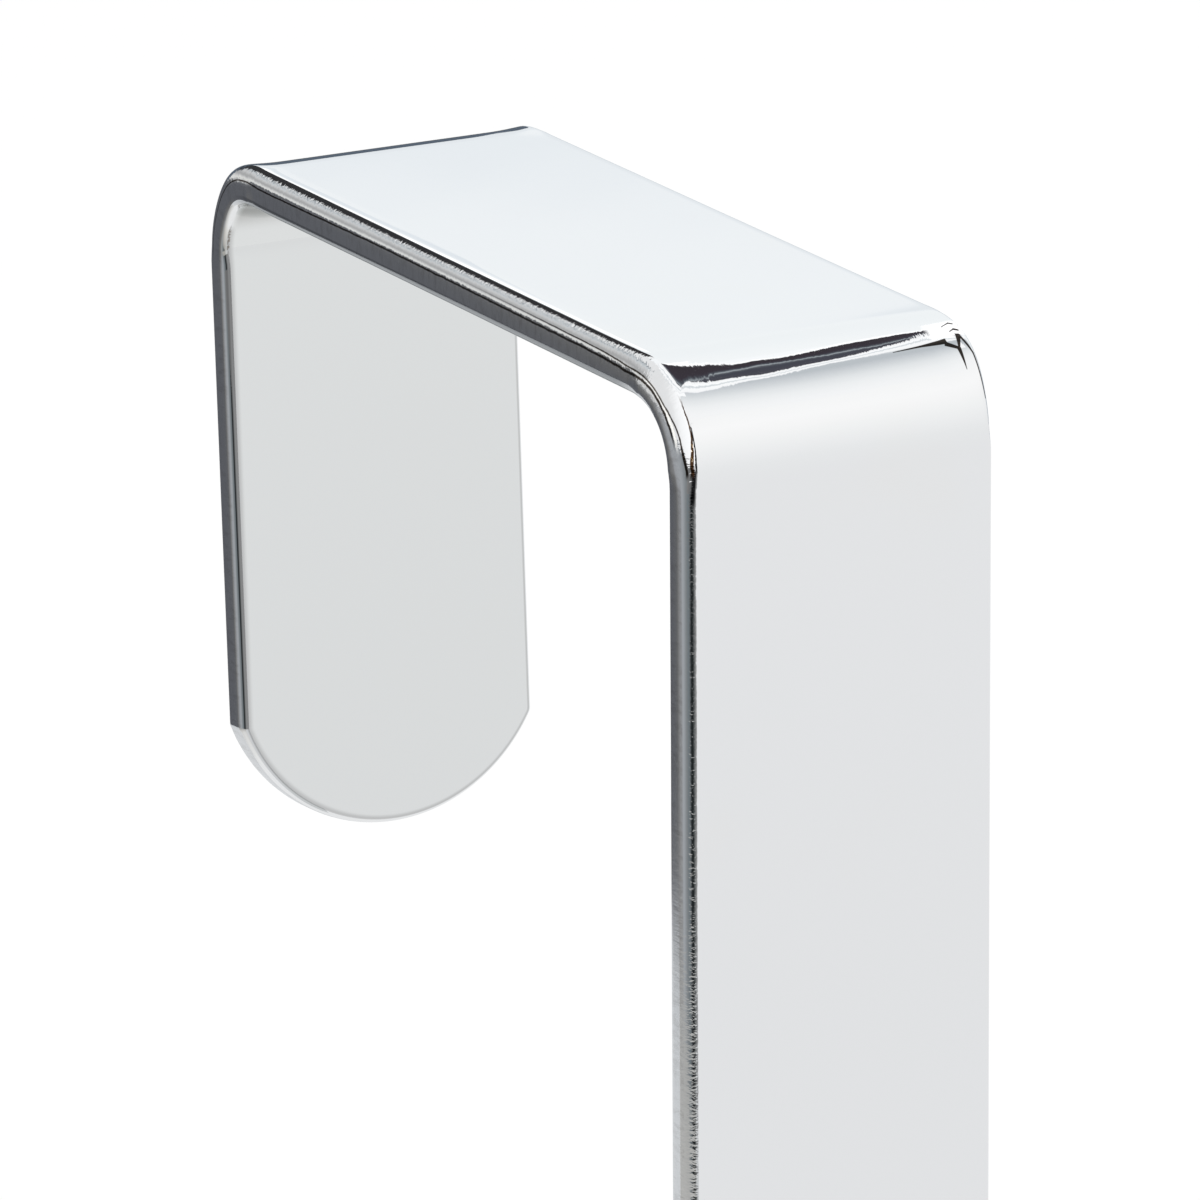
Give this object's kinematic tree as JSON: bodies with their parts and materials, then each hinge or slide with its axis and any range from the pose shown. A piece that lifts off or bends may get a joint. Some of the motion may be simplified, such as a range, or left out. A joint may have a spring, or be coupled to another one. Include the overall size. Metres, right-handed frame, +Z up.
{
  "type": "over door hook",
  "caption": "Bent strap hook that hangs over the top of a door: a short round-ended back leg, a flat bridge, a long front leg and an open J hook at its foot.",
  "frame": {"origin": "middle of the bridge's underside, where the hook sits on the top of the door", "axes": "+Z up, +X across the strap, +Y towards the back of the door, so the hook hangs on the -Y side"},
  "size_m": [0.016, 0.0806, 0.12],
  "materials": {
    "chrome_plate": "polished steel strip, bright chrome plated all over"
  },
  "bodies": {
    "root": {"hook_strap": "chrome_plate"}
  },
  "joints": []
}
